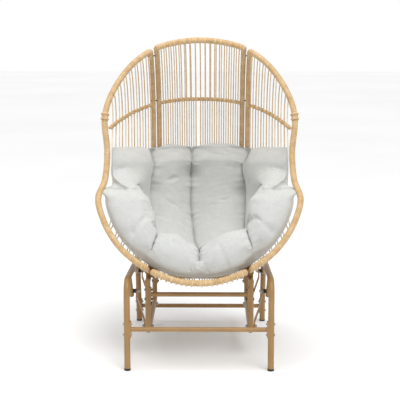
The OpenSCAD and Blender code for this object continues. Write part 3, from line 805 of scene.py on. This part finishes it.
def on_face(a, v, depth):
    """A point on the cushion's visible face: depth 1 on the sitter's side, less round an edge."""
    edge = math.sqrt(max(0, 1 - (2 * depth - 1) ** 2))
    sideways = edge if abs(a) >= 1 else 0
    lengthways = edge if v >= CUSHION_FRONT or v <= CUSHION_TOP else 0
    return cushion_place(a, v, 1, 2 * depth - 1, sideways, lengthways)


# Where the cover is sewn or pulled in, as (a, v, depth) on the visible face, then how deep
# and how wide each side. The deep ones part the cushion into its pillows.
SEAMS = [
    ([(-.44, 6.0, .5), (-.44, 6.0, 1), (-.42, 6.55, 1), (-.40, 7.1, 1), (-.40, 7.6, 1), (-.41, 8.2, 1),
      (-.42, 8.85, 1), (-.46, 9.6, 1)], .076, .115),
    ([(-.06, 6.0, .5), (-.06, 6.0, 1), (-.06, 7.05, 1), (-.06, 8.25, 1), (-.04, 9.85, 1),
      (0, 10.9, 1)], .080, .115),
    ([(.44, 6.0, .5), (.44, 6.0, 1), (.36, 6.7, 1), (.34, 7.2, 1), (.34, 7.7, 1), (.36, 8.4, 1),
      (.38, 9.15, 1), (.44, 9.8, 1)], .076, .115),
    ([(-.90, 11.0, 1), (-1, 11.1, 1), (-1, 11.3, .85), (-1, 11.5, .55), (-1, 11.65, .25)], .066, .105),
    ([(.90, 10.4, 1), (1, 10.6, 1), (1, 10.8, .93), (1, 11.15, .6), (1, 11.45, .12)], .066, .105),
    ([(0, 12.2, 1), (0, 13.0, 1), (0, 13.7, 1), (0, 13.7, .85), (0, 13.7, .62), (0, 13.7, .42)], .080, .115),
    ([(-1, 7.22, .35), (-1, 7.25, .8), (-.85, 7.3, 1), (-.72, 7.7, 1), (-.66, 8.4, 1), (-.62, 9.4, 1),
      (-.55, 10.4, 1), (-.3, 11.2, 1), (0, 11.4, 1), (.3, 11.2, 1), (.55, 10.4, 1), (.62, 9.4, 1),
      (.66, 8.4, 1), (.72, 7.7, 1), (.85, 7.3, 1), (1, 7.25, .8), (1, 7.22, .35)], .022, .050),
]
WRINKLES = [
    ([(-.40, 7.6, 1), (-.30, 7.36, 1), (-.20, 7.24, 1), (-.06, 7.2, 1)], .012, .016),
    ([(-.36, 7.7, 1), (-.30, 8.0, 1), (-.26, 8.2, 1), (-.16, 8.5, 1)], .009, .015),
    ([(.34, 7.7, 1), (.26, 8.0, 1), (.18, 8.15, 1)], .008, .015),
    ([(0, 13.7, .42), (-1, 13.6, .12)], .012, .013),
    ([(0, 13.7, .42), (1, 13.6, .06)], .012, .013),
    ([(-1, 9.75, .78), (-1, 9.95, .6), (-1, 10.2, .35)], .009, .016),
    ([(1, 9.6, .85), (1, 9.75, .6), (1, 9.95, .25)], .009, .016),
    ([(1, 12.8, .75), (1, 12.75, .5), (1, 12.7, .12)], .009, .016),
    ([(-.98, 11.0, 1), (-1, 12.0, .9), (-1, 12.4, .75)], .008, .014),
]
TUFTS = [(-.40, 7.6), (-.06, 7.1), (.34, 7.7)]
TUFT_DEEP, TUFT_WIDE = .034, .032
HELD_DEPTH = .044  # what is pulled in deeper than this is sewn, and the filling can't push it
SWELL, PRESSURE = .024, 6  # how far the filling may push the cover, and how hard


def read(rows, field):
    """One vector of each mesh element, as an array."""
    flat = np.empty(len(rows) * 3, np.float32)
    rows.foreach_get(field, flat)
    return flat.reshape(-1, 3).astype(float)


def set_places(mesh, co):
    mesh.vertices.foreach_set("co", co.astype(np.float32).ravel())
    mesh.update()


def nearest_on(co, line):
    """For each point, the vector to the nearest place on a line, and how far along that is."""
    line = np.array([tuple(p) for p in line])
    best = np.full(len(co), 1e9)
    way, along, gone = np.zeros_like(co), np.zeros(len(co)), 0
    for a, b in zip(line, line[1:]):
        run = b - a
        size = np.linalg.norm(run)
        t = np.clip((co - a) @ run / max(size * size, 1e-12), 0, 1)
        there = a + t[:, None] * run - co
        far = np.linalg.norm(there, axis=1)
        closer = far < best
        best[closer], way[closer], along[closer] = far[closer], there[closer], (gone + t * size)[closer]
        gone += size
    return best, way, along


def drawn_on(points, n=4):
    """The line on the cushion's face through the points."""
    made = []
    for first, second in zip(points, points[1:]):
        for t in steps(0, 1, n)[:-1]:
            made.append(on_face(*[p + (q - p) * t for p, q in zip(first, second)]))
    return made + [on_face(*points[-1])]


def cusp(near, wide):
    """1 on a seam, falling to 0 at wide from it, round on both sides like two pillows that meet."""
    t = np.clip(1 - near / wide, 0, 1)
    return 1 - np.sqrt(1 - t * t)


PINCH, PINCH_WIDE = .90, .020  # how much of its distance to a seam the cover near it gives up
PUCKER, PUCKER_WIDE = .0026, .030  # height of the small gathers beside a seam, and their reach


def pull_in(co, normals):
    """The points after the seams, wrinkles and tufts have pulled them in, and how deep each is."""
    depth, shift = np.zeros(len(co)), np.zeros_like(co)
    for points, deep, wide in SEAMS:
        near, way, along = nearest_on(co, drawn_on(points))
        depth = np.maximum(depth, deep * cusp(near, wide))
        way -= normals * np.sum(way * normals, axis=1)[:, None]
        shift += way * (PINCH * np.exp(-(near / PINCH_WIDE) ** 2))[:, None]
        waves = np.sin(along * 140 + 2.5 * np.sin(along * 31)) + .6 * np.sin(along * 251 + 1)
        depth += PUCKER * waves * np.exp(-(near / PUCKER_WIDE) ** 2)
    for points, deep, wide in WRINKLES:
        near, _, _ = nearest_on(co, drawn_on(points))
        depth = np.maximum(depth, deep * np.exp(-(near / wide) ** 2))
    for a, v in TUFTS:
        near = np.linalg.norm(co - np.array(tuple(on_face(a, v, 1))), axis=1)
        depth += TUFT_DEEP * np.exp(-(near / TUFT_WIDE) ** 2)
    return co + shift - normals * depth[:, None], depth


def fill(piece, held_places, frames=20):
    """Swells the cushion by cloth simulation with its seams held."""
    start = read(piece.data.vertices, "co")
    held = piece.vertex_groups.new(name="held")
    for index in held_places:
        held.add([int(index)], 1.0, "REPLACE")
    cloth = piece.modifiers.new("cloth", "CLOTH")
    settings = cloth.settings
    settings.quality = 4
    settings.mass = .3
    settings.use_pressure = True
    settings.uniform_pressure_force = PRESSURE
    settings.tension_stiffness = settings.compression_stiffness = 12
    settings.bending_stiffness = .3
    settings.effector_weights.gravity = 0
    settings.vertex_group_mass = "held"
    cloth.point_cache.frame_start = 1
    cloth.point_cache.frame_end = frames
    for number in range(1, frames + 1):
        scene.frame_set(number)
    graph = bpy.context.evaluated_depsgraph_get()
    end = read(piece.evaluated_get(graph).to_mesh().vertices, "co")
    piece.modifiers.clear()
    scene.frame_set(1)
    move = end - start
    far = np.linalg.norm(move, axis=1)[:, None]
    set_places(piece.data, start + move * (SWELL * np.tanh(far / SWELL) / np.maximum(far, 1e-9)))
    piece.vertex_groups.clear()


def make_cushion():
    piece = cushion_form("tufted_cushion")
    piece.data.remesh_voxel_size = .007
    pick(piece)
    bpy.ops.object.voxel_remesh()
    fix_modifier(piece, "SMOOTH", factor=.5, iterations=3)
    co, depth = pull_in(read(piece.data.vertices, "co"), read(piece.data.vertex_normals, "vector"))
    set_places(piece.data, co)
    fill(piece, np.nonzero(depth > HELD_DEPTH)[0])
    fix_modifier(piece, "SUBSURF", levels=1, render_levels=1)
    pick(piece)
    bpy.ops.object.shade_smooth()
    return piece


cushion = done(make_cushion(), CLOTH, "cushion_fabric", "seat", "cushion")

# ---------------------------------------------------------------- stage

deselect()
bpy.ops.mesh.primitive_plane_add(size=60, location=(0, 0, 0))
floor = bpy.context.object
floor.name = "studio_floor"
floor_finish, floor_tree, floor_shader, floor_place = new_finish("matt_white_sweep")
floor_cloud = add(floor_tree, "ShaderNodeTexNoise", {"Vector": floor_place, "Scale": .4})
floor_tree.links.new(
    two_tone(floor_tree, floor_cloud.outputs["Fac"], "#F6F6F6", "#FAFAFA"), floor_shader.inputs["Base Color"]
)
floor_shader.inputs["Roughness"].default_value = .9
floor.data.materials.append(floor_finish)

world = bpy.data.worlds.new("white_room")
scene.world = world
world.use_nodes = True
ROOM_LIGHT = .66  # strength of the even light all round; the backdrop itself is white
backdrop = world.node_tree.nodes["Background"]
backdrop.inputs["Color"].default_value = (1, 1, 1, 1)
room = add(world.node_tree, "ShaderNodeBackground", {"Color": (1, 1, 1, 1), "Strength": ROOM_LIGHT})
seen = add(world.node_tree, "ShaderNodeLightPath").outputs["Is Camera Ray"]
mixed = add(world.node_tree, "ShaderNodeMixShader", {0: seen, 1: room.outputs[0], 2: backdrop.outputs[0]})
world.node_tree.links.new(mixed.outputs[0], world.node_tree.nodes["World Output"].inputs["Surface"])

KEY_FROM = Vector((.32, -.62, 1.0))  # the way to the key light: in front, above, a little right
key_data = bpy.data.lights.new("key", "SUN")
key_data.energy, key_data.angle = 1.45, math.radians(34)
key = bpy.data.objects.new("key", key_data)
key.rotation_euler = KEY_FROM.to_track_quat("Z", "Y").to_euler()
scene.collection.objects.link(key)

TOP_PLACE, TOP_AIM = Vector((-.4, -.4, 4.2)), Vector((0, 0, .8))  # a soft box over the chair
top_data = bpy.data.lights.new("top", "AREA")
top_data.shape = "SQUARE"
top_data.size = 2.4
top_data.energy = 66
top = bpy.data.objects.new("top", top_data)
top.location = TOP_PLACE
top.rotation_euler = (TOP_AIM - TOP_PLACE).to_track_quat("-Z", "Y").to_euler()
scene.collection.objects.link(top)

scene.view_settings.view_transform = "Standard"

LOOKS_DOWN, LOOKS_LEFT = 9.4, .57  # degrees from straight ahead
camera_data = bpy.data.cameras.new("camera")
camera_data.lens = 95.85
camera_data.sensor_width = 36
camera = bpy.data.objects.new("camera", camera_data)
camera.location = (.05, -5.01, 1.538)
camera.rotation_euler = (math.radians(90 - LOOKS_DOWN), 0, math.radians(LOOKS_LEFT))
scene.collection.objects.link(camera)
scene.camera = camera
